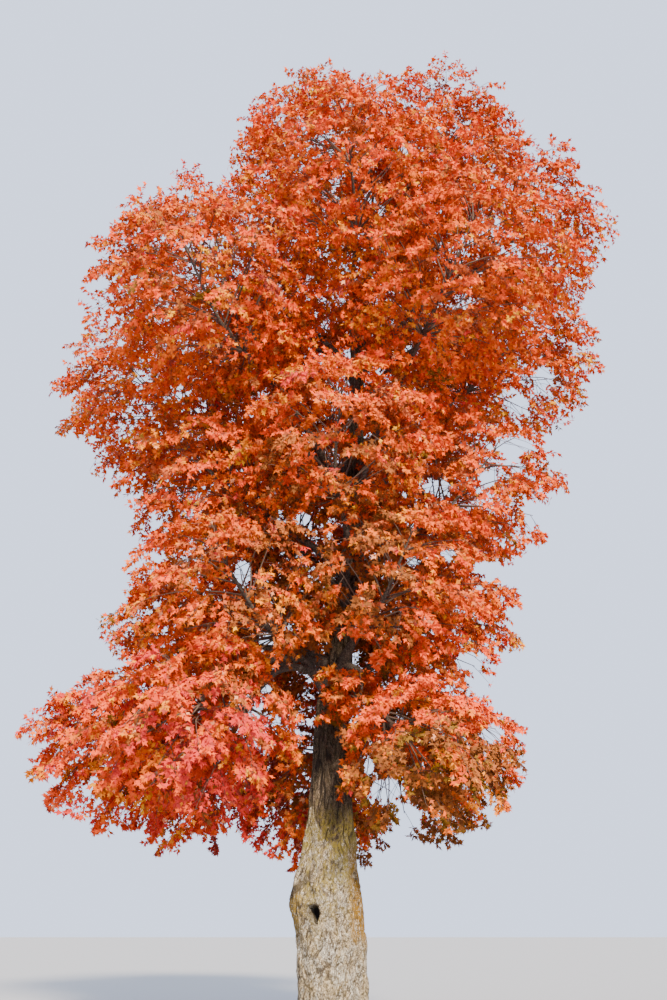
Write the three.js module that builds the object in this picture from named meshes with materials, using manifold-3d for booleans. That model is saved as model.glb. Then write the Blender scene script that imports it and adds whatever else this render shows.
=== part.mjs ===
// A tall red maple in autumn colour: the trunk with its flared foot, the boughs that leave it, and the
// masses of foliage that the boughs carry, each grown from one stem by a seeded rule.
// Millimetres, +Z up. The origin is in the flat cut under the trunk, at ground level.
import * as THREE from 'three';
import { mergeVertices } from 'three/addons/utils/BufferGeometryUtils.js';
import Module from 'manifold-3d';

const wasm = await Module();
wasm.setup();

const TAU = 2 * Math.PI;
const GOLDEN_ANGLE = Math.PI * (3 - Math.sqrt(5));
const UP = new THREE.Vector3(0, 0, 1);

// Trunk: height, centre in x and y, and diameter, at each place where its taper or lean changes.
const TRUNK = [
  [0, -20, 0, 1340],
  [600, -35, 0, 1155],
  [1400, -35, 0, 1185],
  [2100, -70, 0, 1150],
  [2650, -100, 0, 1050],
  [3000, -75, 0, 940],
  [3400, -50, 0, 840],
  [4300, -30, 0, 735],
  [5100, -28, 0, 660],
  [5700, 20, 0, 620],
  [6900, 150, 20, 520],
  [8900, 400, 30, 460],
  [9900, 440, 20, 410],
  [12500, 520, -60, 310],
  [15500, 760, -40, 210],
  [18000, 960, 60, 110],
];
const TRUNK_SIDES = 20;
const RING_STEP = 190; // between two rings at the foot
const RING_GROWTH = 0.09; // and how much it grows for each millimetre of height

// The root flare: ridges that run out into the ground and die away up the trunk.
const ROOTS = 6;
const ROOT_SWELL = 0.17; // of the radius, at ground level
const ROOT_HEIGHT = 420;
const ROOT_TURN = 0.6; // radians by which they are turned
const FLUTES = 5; // shallow ridges higher up, which wind slowly round the trunk
const FLUTE_SWELL = 0.035;
const FLUTE_WIND = 1500; // the height in which they wind by a radian

// Swellings of the old trunk: height, direction round the trunk in degrees, swell, half height and
// half width in degrees.
const BURLS = [
  { height: 2150, turn: 178, swell: 130, tall: 420, wide: 44 },
  { height: 2300, turn: 246, swell: 70, tall: 150, wide: 14 },
  { height: 1500, turn: 20, swell: 45, tall: 260, wide: 35 },
];

// The knot hole under the smaller burl.
const KNOT = { height: 1910, turn: 237, wide: 260, tall: 320, deep: 260 };

const GAP = 0.3; // between two wooden pieces that meet
const SPACE_GAP = 15; // from a mass to the edge of its space

// The crown's tiers, from the lowest up. A tier's masses stand in a ring: the height of their middles,
// how far out they stand, their reach, how many there are, the first one's direction and the arc they
// take in, in degrees, and the ring's own middle in x and y. Slope raises the +X side, and sag lowers
// the far side. Each mass hangs on a bough that leaves the trunk, or a bough of the tier named, and
// arches by a share of its length.
const TIERS = [
  {
    name: 'skirt', height: 4850, out: 2930, reach: 1850, count: 6, turn: -33, arc: 275,
    middle: [-900, 0], slope: -100, sag: 500, bough: { from: 'waist', share: 0.34, stagger: 0.16, girth: 150, arch: 0.16 },
  },
  {
    name: 'waist', height: 7500, out: 2350, reach: 2150, count: 5, turn: 18, arc: 360,
    middle: [-350, 0], slope: 0, sag: 0, bough: { height: 5500, stagger: 190, girth: 300, arch: 0.07 },
  },
  {
    name: 'middle', height: 10050, out: 2550, reach: 2200, count: 5, turn: 54, arc: 360,
    middle: [150, 0], slope: -250, sag: 0, bough: { height: 7150, stagger: 230, girth: 230, arch: 0.07 },
  },
  {
    name: 'broad', height: 13600, out: 4050, reach: 2600, count: 5, turn: 18, arc: 360,
    middle: [-100, 0], slope: 500, sag: 0, bough: { height: 9100, stagger: 260, girth: 230, arch: 0.09 },
  },
  {
    name: 'shoulder', height: 15750, out: 3250, reach: 2500, count: 5, turn: 48, arc: 360,
    middle: [700, 0], slope: 250, sag: 0, bough: { height: 12000, stagger: 240, girth: 150, arch: 0.06 },
  },
  {
    name: 'tuft', height: 5250, out: 1400, reach: 850, count: 1, turn: 288, arc: 360,
    middle: [0, 0], slope: 0, sag: 0, bough: { height: 4700, stagger: 0, girth: 110, arch: 0.05 },
  },
  {
    name: 'top', height: 18900, out: 1250, reach: 2250, count: 2, turn: 4, arc: 360,
    middle: [1150, -550], slope: 150, sag: 0, bough: { height: 15300, stagger: 900, girth: 100, arch: 0.04 },
  },
];
const DEPTH = 0.86; // the crown's depth as a share of its width
const FLAT = 0.88; // a mass's height as a share of its width
const UNEVEN_HEIGHT = 250; // how far a mass strays from its tier's height
const UNEVEN_REACH = 0.05; // and, as a share, from its tier's reach

// Boughs.
const BOUGH_SIDES = 6;
const BOUGH_STEPS = 5;
const BOUGH_TAPER = 0.42; // the tip's thickness as a share of the girth
const COLLAR = 0.35; // extra thickness where a bough leaves its parent
const SLIMMING = 0.8; // below 1, a limb loses more of its thickness near its foot
const CROOKED = 0.05; // how far a bough strays sideways, as a share of its length
const BENDS = [0.33, 0.68]; // where a bough bends
const FIRST_LIFT = 0.8; // the first bend's lift as a share of the second's
const ENTRY = 0.72; // how far from a mass's middle its bough ends, as a share of its reach
const ENTRY_STEP = 0.04; // and by how much nearer, while a neighbour's space is
const ENTRY_ROOM = 120; // nearer than this

// Foliage. Each mass has one stem. Twigs run from it towards directions that the golden angle spreads
// evenly. A twig ends in a leaf and has a pair of leaves on its way, and each leaf stands for a spray.
const STEM_OUT = 0.35; // how far past the mass's middle the stem ends, outwards and up, of its reach
const STEM_UP = 0.3;
const STEM_STEPS = 3;
const STEM_TIP = 90;
const LEADER_SHARE = 0.8; // the thickness of the stem on the trunk's tip, as a share of the tip's
const TWIG_FIRST = 0.12; // where on its stem a twig may start, from here
const TWIG_LAST = 0.94; // to here
const LEAVES = 13; // a mass grows no further twig once it has so many
const TWIGS = 17; // directions that are tried
const TWIG_STRIDE = 5; // so that one side isn't filled before another
const TWIG_ENDS = [0.74, 0.56]; // where a twig ends, as a share of the mass's reach: the first that fits
const TWIG_UNEVEN = 0.06;
const TWIG_LEAN = 0.7; // how far back along the stem a twig starts, for each unit that it runs aside
const TWIG_THICK = 50;
const TWIG_TAPER = 0.85;
const PAIR_AT = 0.68; // where the pair sits along its twig
const END_AT = 0.97; // and the leaf at its end
const LEAF_SIZES = [0.68, 0.55, 0.42]; // of the mass's reach, the largest that fits
const LEAF_WIDTH = 0.95; // of its length
const LEAF_WIDEST = 0.46; // where it is widest, from its root
const LEAF_THICK = 44;
const LEAF_SPREAD = 80; // degrees from the twig's own leaf to each of the pair
const LEAF_TURNS = [0, 25, -25]; // degrees that a leaf may turn aside to find room
const LEAF_UPRIGHT = 0.6; // the share of a twig's rise that its leaves' faces follow
const LEAF_TILT = 0.45; // how far chance tilts them
const LEAF_DROOP = 0.5; // against 0.7 outwards
const LEAF_OUT = 0.7;
const LEAF_DRIFT = 0.6;
const LEAF_LIFT = 0.15; // how far a leaf stands out from the mass's skin
const LEAF_REACH = 1.04; // how far it may reach, as a share of the mass's reach

const WOOD_ROUGHNESS = 0.95;
const LEAF_ROUGHNESS = 0.8;
const COLOURS = {
  trunk: 0xa79f92, bough: 0x5a4a40, skirt: 0xc8473f, waist: 0xb8502a, middle: 0xc9532a, broad: 0xcf5a2c,
  shoulder: 0xd2602e, tuft: 0xd4543f, top: 0xd66632,
};

// A repeatable number from 0 to 1 for whatever the three keys name.
function chance(a, b, c) {
  const wave = Math.sin(a * 12.9898 + b * 78.233 + c * 37.719) * 43758.5453;
  return wave - Math.floor(wave);
}

// The same, from -1 to 1.
const swing = (a, b, c) => 2 * chance(a, b, c) - 1;

// The level direction at so many degrees from +X.
const direction = (degrees) => {
  const angle = THREE.MathUtils.degToRad(degrees);
  return new THREE.Vector3(Math.cos(angle), Math.sin(angle), 0);
};

// A closed mesh as a solid.
function solidOf(geometry) {
  const bare = geometry.clone();
  bare.deleteAttribute('normal');
  bare.deleteAttribute('uv');
  const merged = mergeVertices(bare, 1e-3);
  return new wasm.Manifold(new wasm.Mesh({
    numProp: 3,
    vertProperties: new Float32Array(merged.attributes.position.array),
    triVerts: new Uint32Array(merged.index.array),
  }));
}

// A skin from ring to ring, closed at both ends. A ring may be a single point.
function loft(rings) {
  const corners = [];
  const face = (...points) => points.forEach((p) => corners.push(p.x, p.y, p.z));
  const [first, last] = [rings[0], rings.at(-1)];
  for (let i = 2; i < first.length; i++) face(first[0], first[i], first[i - 1]);
  for (let i = 2; i < last.length; i++) face(last[0], last[i - 1], last[i]);
  for (let k = 1; k < rings.length; k++) {
    const [low, high] = [rings[k - 1], rings[k]];
    const sides = Math.max(low.length, high.length);
    for (let i = 0; i < sides; i++) {
      const next = (i + 1) % sides;
      if (low.length > 1) face(low[i], low[next], high[i % high.length]);
      if (high.length > 1) face(high[i], low[next % low.length], high[next]);
    }
  }
  const geometry = new THREE.BufferGeometry();
  geometry.setAttribute('position', new THREE.Float32BufferAttribute(corners, 3));
  return solidOf(geometry);
}

// The trunk's centre and diameter at a height.
function trunkAt(height) {
  const k = Math.max(1, TRUNK.findIndex(([z]) => z >= height));
  const [low, high] = [TRUNK[k - 1], TRUNK[k]];
  const share = (height - low[0]) / (high[0] - low[0]);
  const [, x, y, girth] = low.map((value, i) => value + (high[i] - value) * share);
  return { centre: new THREE.Vector3(x, y, height), girth };
}

// How far the trunk's side stands from its centre at a height and a direction in radians.
function trunkRadius(height, angle) {
  const { girth } = trunkAt(height);
  const root = ROOT_SWELL * Math.exp(-height / ROOT_HEIGHT) * Math.cos(ROOTS * angle + ROOT_TURN);
  const flute = FLUTE_SWELL * Math.cos(FLUTES * angle + height / FLUTE_WIND);
  let radius = (girth / 2) * (1 + root + flute);
  for (const burl of BURLS) {
    const away = angle - THREE.MathUtils.degToRad(burl.turn);
    const across = Math.atan2(Math.sin(away), Math.cos(away)) / THREE.MathUtils.degToRad(burl.wide);
    const along = (height - burl.height) / burl.tall;
    radius += burl.swell * Math.exp(-across * across - along * along);
  }
  return radius;
}

// The trunk as a solid, larger by a margin where it serves to cut its neighbours.
function trunkSolid(margin) {
  const top = TRUNK.at(-1)[0];
  const rings = [[trunkAt(0).centre]];
  for (let height = 0; height < top; height += RING_STEP + RING_GROWTH * height) {
    rings.push(trunkRing(height, margin));
  }
  rings.push(trunkRing(top, margin).map((point) => point.setZ(top + margin)));
  return loft(rings);
}

function trunkRing(height, margin) {
  const { centre } = trunkAt(height);
  return Array.from({ length: TRUNK_SIDES }, (_, i) => {
    const angle = (i / TRUNK_SIDES) * TAU;
    const radius = trunkRadius(height, angle) + margin;
    return new THREE.Vector3(Math.cos(angle), Math.sin(angle), 0).multiplyScalar(radius).add(centre);
  });
}

// The hollow of the knot hole, an oval bulb that opens through the bark.
function knotSolid() {
  const angle = THREE.MathUtils.degToRad(KNOT.turn);
  const bulb = new THREE.SphereGeometry(1, 10, 8);
  bulb.scale(KNOT.deep, KNOT.wide / 2, KNOT.tall / 2);
  bulb.rotateZ(angle);
  const bark = trunkRadius(KNOT.height, angle);
  const middle = trunkAt(KNOT.height).centre.addScaledVector(direction(KNOT.turn), bark);
  bulb.translate(middle.x, middle.y, middle.z);
  return solidOf(bulb);
}

// A round limb along a curve, thick at one end and thin at the other, with flat ends.
function tube(curve, thick, thin, sides, steps, collar, margin) {
  const frames = curve.computeFrenetFrames(steps);
  const length = curve.getLength();
  const rings = [];
  for (let k = 0; k <= steps; k++) {
    const share = k / steps;
    const flare = 1 + collar * Math.exp((-share * length) / thick);
    const radius = (flare * (thick + (thin - thick) * share ** SLIMMING)) / 2 + margin;
    const centre = curve.getPointAt(share);
    if (k === steps) centre.addScaledVector(frames.tangents[k], margin);
    rings.push(Array.from({ length: sides }, (_, i) => {
      const angle = (i / sides) * TAU;
      return centre.clone()
        .addScaledVector(frames.normals[k], radius * Math.cos(angle))
        .addScaledVector(frames.binormals[k], radius * Math.sin(angle));
    }));
  }
  return loft(rings);
}

// A point on the straight stretches that a tube makes of its curve.
function pointOn(curve, steps, share) {
  const low = Math.min(Math.floor(share * steps), steps - 1);
  return curve.getPointAt(low / steps).lerp(curve.getPointAt((low + 1) / steps), share * steps - low);
}

// The masses, each a ball flattened to FLAT, before anything grows.
const masses = TIERS.flatMap((tier, level) => {
  const step = tier.arc < 360 ? tier.arc / (tier.count - 1) : tier.arc / tier.count;
  return Array.from({ length: tier.count }, (_, i) => {
    const out = direction(tier.turn + step * i);
    const height = tier.height + tier.slope * out.x - tier.sag * Math.max(0, out.y);
    const centre = new THREE.Vector3(
      tier.middle[0] + tier.out * out.x,
      tier.middle[1] + tier.out * DEPTH * out.y,
      height + UNEVEN_HEIGHT * swing(level, i, 1),
    );
    const reach = tier.reach * (1 + UNEVEN_REACH * swing(level, i, 2));
    return { name: `${tier.name}_${i + 1}`, tier, level, number: i, out, centre, reach };
  });
});

// The square of the distance from a mass's middle, in its own flattened measure.
function spread(mass, point) {
  const away = point.clone().sub(mass.centre);
  return away.x ** 2 + away.y ** 2 + (away.z / FLAT) ** 2;
}

// How far a point lies inside a mass's own space, which ends where a neighbour's ball has more claim.
function room(mass, point) {
  const own = spread(mass, point) - mass.reach ** 2;
  let least = Infinity;
  for (const other of masses) {
    if (other === mass) continue;
    const theirs = spread(other, point) - other.reach ** 2;
    least = Math.min(least, (theirs - own) / (2 * Math.sqrt(spread(other, mass.centre))));
  }
  return least;
}

const fits = (mass, points) => points.every((point) =>
  room(mass, point) > SPACE_GAP && spread(mass, point) < (LEAF_REACH * mass.reach) ** 2);

// Where a limb that comes from a point enters a mass.
function entry(mass, from) {
  const way = from.clone().sub(mass.centre).normalize();
  const at = (share) => mass.centre.clone().addScaledVector(way, share * mass.reach);
  let share = ENTRY;
  while (share > ENTRY_STEP && room(mass, at(share)) < ENTRY_ROOM) share -= ENTRY_STEP;
  return at(share);
}

// The limbs, each with its solid and the larger one that cuts what it carries.
const trunk = { name: 'trunk', solid: trunkSolid(0).subtract(knotSolid()), cutter: trunkSolid(GAP) };
const limbs = [trunk];

// A bough from its parent to the mass that it carries.
function growBough(mass) {
  const { tier, number, level } = mass;
  const { from, share, height, stagger, girth, arch } = tier.bough;
  let start;
  if (from) {
    const parents = limbs.filter((limb) => limb.mass?.tier.name === from);
    parents.sort((a, b) => b.mass.out.dot(mass.out) - a.mass.out.dot(mass.out));
    start = pointOn(parents[0].curve, BOUGH_STEPS, share + stagger * (number % 2));
  } else {
    start = trunkAt(height + stagger * ((2 * number) % tier.count)).centre;
  }
  const end = entry(mass, start);
  const way = end.clone().sub(start);
  const length = way.length();
  const side = way.clone().cross(UP).normalize();
  const bend = (at, lift, stray) => start.clone()
    .addScaledVector(way, at)
    .addScaledVector(UP, lift * length)
    .addScaledVector(side, stray * length);
  const curve = new THREE.CatmullRomCurve3([
    start,
    bend(BENDS[0], arch * FIRST_LIFT, CROOKED * swing(level, number, 3)),
    bend(BENDS[1], arch, CROOKED * swing(level, number, 4)),
    end,
  ]);
  const tip = Math.max(girth * BOUGH_TAPER, STEM_TIP);
  let solid = tube(curve, girth, tip, BOUGH_SIDES, BOUGH_STEPS, COLLAR, 0);
  for (const limb of limbs) solid = solid.subtract(limb.cutter);
  const cutter = tube(curve, girth, tip, BOUGH_SIDES, BOUGH_STEPS, COLLAR, GAP);
  limbs.push({ name: `bough_${mass.name}`, mass, curve, solid: largest(solid), cutter, tip });
}

// The largest body of a solid, with no loose scrap and no sealed hollow.
function largest(solid) {
  return solid.decompose().sort((a, b) => b.volume() - a.volume())[0];
}

// The last mass sits on the trunk's own tip. The boughs that others leave come first.
const leader = masses.at(-1);
const carried = masses.filter((mass) => mass !== leader);
carried.filter((mass) => !mass.tier.bough.from).forEach(growBough);
carried.filter((mass) => mass.tier.bough.from).forEach(growBough);

// The limb that carries a mass, with the place where its stem starts, its heading and its thickness.
function stemRoot(mass) {
  const bough = limbs.find((limb) => limb.mass === mass);
  if (bough) {
    const [start, heading] = [bough.curve.getPointAt(1), bough.curve.getTangentAt(1)];
    return { limb: bough, start, heading, thick: bough.tip };
  }
  const [height, , , girth] = TRUNK.at(-1);
  return { limb: trunk, start: trunkAt(height).centre, heading: UP, thick: LEADER_SHARE * girth };
}

// Whether a solid touches any of the others.
function touches(solid, others) {
  const box = solid.boundingBox();
  return others.some((other) => {
    const theirs = other.boundingBox();
    const apart = [0, 1, 2].some((i) => box.min[i] > theirs.max[i] || theirs.min[i] > box.max[i]);
    return !apart && !solid.intersect(other).isEmpty();
  });
}

// A leaf: a thin lozenge with a flat back and a low ridge, whose root lies in the middle of its twig.
function leafSolid(root, along, facing, length) {
  const across = facing.clone().cross(along).normalize();
  const normal = along.clone().cross(across).normalize();
  const middle = root.clone().addScaledVector(along, length * LEAF_WIDEST);
  const side = (share) => middle.clone().addScaledVector(across, (share * length * LEAF_WIDTH) / 2);
  const outline = [side(-1), root, side(1), root.clone().addScaledVector(along, length)];
  const ridge = middle.clone().addScaledVector(normal, LEAF_THICK);
  return { solid: loft([[ridge], outline]), points: [...outline, ridge] };
}

// The stem of a mass, from the limb that carries it.
function growStem(mass) {
  const { limb, start, heading, thick } = stemRoot(mass);
  const end = mass.centre.clone()
    .addScaledVector(mass.out, STEM_OUT * mass.reach)
    .addScaledVector(UP, STEM_UP * mass.reach);
  const bend = start.clone().addScaledVector(heading, start.distanceTo(end) / 3);
  const curve = new THREE.CatmullRomCurve3([start, bend, end]);
  const solid = largest(tube(curve, thick, STEM_TIP, 3, STEM_STEPS, 0, 0).subtract(limb.cutter));
  return { start, end, curve, solid };
}

// The ray from a mass's middle that a twig makes for. The level one points straight out of the crown.
function twigRay(mass, k) {
  const high = 1 - (2 * k + 1) / TWIGS;
  const turn = Math.atan2(mass.out.y, mass.out.x) + (k - (TWIGS - 1) / 2) * GOLDEN_ANGLE;
  const flat = Math.sqrt(1 - high * high);
  return new THREE.Vector3(flat * Math.cos(turn), flat * Math.sin(turn), high * FLAT);
}

// A straight twig from the stem to a tip, which it leaves at an angle.
function twigTo(tip, stem) {
  const aim = stem.end.clone().sub(stem.start);
  const length = aim.length();
  const ahead = tip.clone().sub(stem.start).dot(aim) / length;
  const aside = tip.distanceTo(stem.start.clone().addScaledVector(aim, ahead / length));
  const share = THREE.MathUtils.clamp(
    (ahead - TWIG_LEAN * aside) / length, TWIG_FIRST, TWIG_LAST,
  );
  return new THREE.LineCurve3(pointOn(stem.curve, STEM_STEPS, share), tip);
}

// The leaves of a twig: one at its end and a pair on its way, each the largest that finds room.
function growLeaves(mass, twig, ray, index, k, others) {
  const facing = new THREE.Vector3(ray.x, ray.y, LEAF_UPRIGHT * ray.z);
  facing.add(new THREE.Vector3(swing(index, k, 5), swing(index, k, 6), 0).multiplyScalar(LEAF_TILT));
  facing.normalize();
  const hang = mass.out.clone().multiplyScalar(LEAF_OUT).addScaledVector(UP, -LEAF_DROOP);
  hang.add(new THREE.Vector3(swing(index, k, 3), swing(index, k, 4), 0).multiplyScalar(LEAF_DRIFT));
  hang.addScaledVector(facing, -hang.dot(facing)).normalize();
  const leaves = [];
  for (const [turned, at] of [[0, END_AT], [LEAF_SPREAD, PAIR_AT], [-LEAF_SPREAD, PAIR_AT]]) {
    const tries = LEAF_SIZES.flatMap((size) => LEAF_TURNS.map((aside) => [size, turned + aside]));
    for (const [size, turn] of tries) {
      const along = hang.clone().applyAxisAngle(facing, THREE.MathUtils.degToRad(turn));
      along.addScaledVector(facing, LEAF_LIFT).normalize();
      const leaf = leafSolid(twig.getPointAt(at), along, facing, size * mass.reach);
      if (!fits(mass, leaf.points) || touches(leaf.solid, [...others, ...leaves])) continue;
      leaves.push(leaf.solid);
      break;
    }
  }
  return leaves;
}

// A mass: the stem, its twigs, and the leaves that fit, joined into one body.
function growMass(mass, index) {
  const wood = limbs.map((limb) => limb.solid);
  const stem = growStem(mass);
  const grown = [];
  let count = 0;
  for (let n = 0; n < TWIGS && count < LEAVES; n++) {
    const k = ((TWIGS - 1) / 2 + n * TWIG_STRIDE) % TWIGS;
    const ray = twigRay(mass, k);
    const far = mass.reach * (1 + TWIG_UNEVEN * swing(index, k, 2));
    const tips = TWIG_ENDS.map((end) => mass.centre.clone().addScaledVector(ray, end * far));
    const tip = tips.find((place) => fits(mass, [place]));
    if (!tip) continue;
    const twig = twigTo(tip, stem);
    const solid = tube(twig, TWIG_THICK, TWIG_THICK * TWIG_TAPER, 3, 1, 0, 0);
    if (touches(solid, [...wood, ...grown])) continue;
    const leaves = growLeaves(mass, twig, ray, index, k, [...wood, stem.solid, ...grown]);
    if (leaves.length) grown.push(solid, ...leaves);
    count += leaves.length;
  }
  return largest(wasm.Manifold.union([stem.solid, ...grown]));
}

// A solid as a named mesh.
function meshOf(name, solid, color, roughness) {
  const { numProp, vertProperties, triVerts } = solid.getMesh();
  const geometry = new THREE.BufferGeometry();
  geometry.setAttribute('position', new THREE.Float32BufferAttribute(vertProperties, numProp));
  geometry.setIndex(new THREE.Uint32BufferAttribute(triVerts, 1));
  geometry.computeVertexNormals();
  const mesh = new THREE.Mesh(geometry, new THREE.MeshStandardMaterial({ color, roughness }));
  mesh.name = name;
  return mesh;
}

const tree = new THREE.Group();
tree.name = 'red_maple';
for (const limb of limbs) {
  const colour = limb.mass ? COLOURS.bough : COLOURS.trunk;
  tree.add(meshOf(limb.name, limb.solid, colour, WOOD_ROUGHNESS));
}
masses.forEach((mass, index) => {
  const colour = COLOURS[mass.tier.name];
  tree.add(meshOf(`foliage_${mass.name}`, growMass(mass, index), colour, LEAF_ROUGHNESS));
});

export default tree;
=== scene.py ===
import math
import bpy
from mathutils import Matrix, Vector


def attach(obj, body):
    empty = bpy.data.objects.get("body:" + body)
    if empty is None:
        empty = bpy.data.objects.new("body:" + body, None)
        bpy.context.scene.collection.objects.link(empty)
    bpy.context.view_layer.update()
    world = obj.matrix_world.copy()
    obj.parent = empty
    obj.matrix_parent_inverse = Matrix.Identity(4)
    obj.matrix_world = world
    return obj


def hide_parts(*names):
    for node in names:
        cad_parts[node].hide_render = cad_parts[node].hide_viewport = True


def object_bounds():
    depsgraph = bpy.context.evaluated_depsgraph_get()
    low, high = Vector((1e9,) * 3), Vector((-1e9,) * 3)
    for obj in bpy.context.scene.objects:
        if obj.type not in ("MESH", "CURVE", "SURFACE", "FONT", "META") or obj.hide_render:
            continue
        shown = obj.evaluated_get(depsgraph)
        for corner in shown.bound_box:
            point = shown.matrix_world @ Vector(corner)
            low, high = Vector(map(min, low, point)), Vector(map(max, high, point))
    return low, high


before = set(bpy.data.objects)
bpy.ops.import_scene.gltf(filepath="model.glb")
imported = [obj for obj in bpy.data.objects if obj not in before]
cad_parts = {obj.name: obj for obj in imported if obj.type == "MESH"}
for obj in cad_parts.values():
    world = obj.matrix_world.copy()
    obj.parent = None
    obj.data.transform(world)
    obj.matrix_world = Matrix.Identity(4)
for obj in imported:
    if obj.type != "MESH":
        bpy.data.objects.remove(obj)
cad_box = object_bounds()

from types import SimpleNamespace as Row

import bpy
import numpy as np

# Looks of the red maple: bark, boughs, twigs and leaves, grown on from the limbs by the source's rule.
# Lengths are in metres, in the frame of the part, and angles in degrees, unless a comment says otherwise.
TAU = 2 * math.pi
GOLDEN_ANGLE = math.pi * (3 - math.sqrt(5))
UP = np.array([0.0, 0.0, 1.0])

# Trunk: height, centre in x and y, and diameter, as in the part's source.
TRUNK = np.array([
    [0, -0.02, 0, 1.34], [0.6, -0.035, 0, 1.155], [1.4, -0.035, 0, 1.185],
    [2.1, -0.07, 0, 1.15], [2.65, -0.1, 0, 1.05], [3.0, -0.075, 0, 0.94],
    [3.4, -0.05, 0, 0.84], [4.3, -0.03, 0, 0.735], [5.1, -0.028, 0, 0.66],
    [5.7, 0.02, 0, 0.62], [6.9, 0.15, 0.02, 0.52], [8.9, 0.4, 0.03, 0.46],
    [9.9, 0.44, 0.02, 0.41], [12.5, 0.52, -0.06, 0.31], [15.5, 0.76, -0.04, 0.21],
    [18.0, 0.96, 0.06, 0.11],
])
ROOTS = 6
ROOT_SWELL = 0.17
ROOT_HEIGHT = 0.42
ROOT_TURN = 0.6  # radians
FLUTES = 5
FLUTE_SWELL = 0.035
FLUTE_WIND = 1.5  # for each radian of their wave
BURLS = [
    Row(height=2.15, turn=178, swell=0.13, tall=0.42, wide=44),
    Row(height=2.3, turn=246, swell=0.07, tall=0.15, wide=14),
    Row(height=1.5, turn=20, swell=0.045, tall=0.26, wide=35),
]
KNOT = Row(height=1.91, turn=237, wide=0.26, tall=0.32, deep=0.2)
KNOT_RIM = (0.75, 1.1)  # where the hole's side runs, of the way from its middle to its rim
KNOT_LIP = Row(out=0.035, at=1.35, wide=0.35)  # the swelling round the hole

# The trunk's mesh: rows close together on the old bark, and wider apart above.
TRUNK_SIDES = 144
ROW_STEP = 0.033
CLOSE_ROWS_TO = 3.8
ROW_GROWTH = 0.013
# Its bark: strips of shaggy plates on the old bark below, and long ridges on the younger bark above.
OLD_BARK_END = (2.8, 3.7)
BARK_DROP = 0.03  # the bark's lowest parts lie this far inside the source's trunk
STRIPS = Row(around=46, tall=0.4, edge=0.32, seed=17)
STRIP_OUT, SHAG_OUT, FLAKE_OUT = 0.012, 0.018, 0.012
FLAKE_TALL = (0.16, 0.14)  # the shortest flake, and how much taller one may be
RIDGES = Row(around=26, tall=1.1, edge=0.45, seed=23)
RIDGE_OUT = 0.05  # of the trunk's girth

# The crown's tiers, as in the part's source. A tier's boughs leave the trunk at the height "leaves", or
# another tier's boughs, its "source", at a share of their length.
TIERS = [
    Row(name="skirt", height=4.85, out=2.93, reach=1.85, count=6, turn=-33, arc=275, middle=(-0.9, 0),
         slope=-0.1, sag=0.5, stagger=0.16, girth=0.15, arch=0.16, source="waist", share=0.34),
    Row(name="waist", height=7.5, out=2.35, reach=2.15, count=5, turn=18, arc=360, middle=(-0.35, 0),
         slope=0, sag=0, stagger=0.19, girth=0.3, arch=0.07, leaves=5.5),
    Row(name="middle", height=10.05, out=2.55, reach=2.2, count=5, turn=54, arc=360, middle=(0.15, 0),
         slope=-0.25, sag=0, stagger=0.23, girth=0.23, arch=0.07, leaves=7.15),
    Row(name="broad", height=13.6, out=4.05, reach=2.6, count=5, turn=18, arc=360, middle=(-0.1, 0),
         slope=0.5, sag=0, stagger=0.26, girth=0.23, arch=0.09, leaves=9.1),
    Row(name="shoulder", height=15.75, out=3.25, reach=2.5, count=5, turn=48, arc=360, middle=(0.7, 0),
         slope=0.25, sag=0, stagger=0.24, girth=0.15, arch=0.06, leaves=12.0),
    Row(name="tuft", height=5.25, out=1.4, reach=0.85, count=1, turn=288, arc=360, middle=(0, 0),
         slope=0, sag=0, stagger=0, girth=0.11, arch=0.05, leaves=4.7),
    Row(name="top", height=18.9, out=1.25, reach=2.25, count=2, turn=4, arc=360, middle=(1.15, -0.55),
         slope=0.15, sag=0, stagger=0.9, girth=0.1, arch=0.04, leaves=15.3),
]
DEPTH = 0.86
FLAT = 0.88
UNEVEN_HEIGHT = 0.25
UNEVEN_REACH = 0.05
BOUGH_STEPS = 5
BOUGH_TAPER = 0.42
COLLAR = 0.35
SLIMMING = 0.8
CROOKED = 0.05
BENDS = (0.33, 0.68)
FIRST_LIFT = 0.8
ENTRY = 0.72
ENTRY_STEP = 0.04
ENTRY_ROOM = 0.12
STEM_OUT = 0.35
STEM_UP = 0.3
STEM_TIP = 0.09
STEM_END = 0.022  # the stem's girth at its very end
LEADER_SHARE = 0.8
TWIG_UNEVEN = 0.06
TWIG_LEAN = 0.7
TWIG_FIRST = 0.12
TWIG_LAST = 0.94
LIMB_UNEVEN = 0.06
BOUGH_POINTS, BOUGH_SIDES = 26, 12
STEM_POINTS, STEM_SIDES = 14, 8

# Finer growth. A mass's branches end in a spray and carry pairs of sprays. A spray is an axis with
# pairs of shoots and one at its end, and a shoot has pairs of leaves and one at its tip.
BRANCH_SPACE = dict(skirt=0.115, waist=0.128, middle=0.135, broad=0.13, shoulder=0.125, tuft=0.035,
                    top=0.106)
KEYS = 128  # how many keys a mass's branches have
SIDE_KEY = 100  # the first key of its side branches
BRANCH_ENDS = (0.76, 0.6, 0.46)  # where a branch may end, of the mass's reach
BRANCH_ROOM = 0.1  # and how far inside the mass's space
BRANCH_BENDS = (0.35, 0.7)
BRANCH_ARCH = 0.05  # of its length
BRANCH_STRAY = 0.06  # the same
BRANCH_FINE = 16
BRANCH_THIN = 0.5  # a branch's thickness at the stem's tip, of that at its foot
BRANCH_BASE = 0.024  # radius
BRANCH_TIP = 0.007
BRANCH_POINTS, BRANCH_SIDES = 5, 4
PLACES = ((0, 0.97), (1, 0.76), (-1, 0.66), (1, 0.48))  # a branch's sprays: side, and share of its length
PLACE_TURN = 58
FACE_UP, FACE_OUT, FACE_STRAY = 0.75, 0.7, 0.35  # which way a spray's top faces
SPRAY_AHEAD = 0.35  # how much a spray's direction leans to its branch's,
SPRAY_DROOP = 0.12  # how much down,
SPRAY_DRIFT = 0.25  # and how much at random
SPRAY_LENGTH = 0.36  # of the mass's reach
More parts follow.
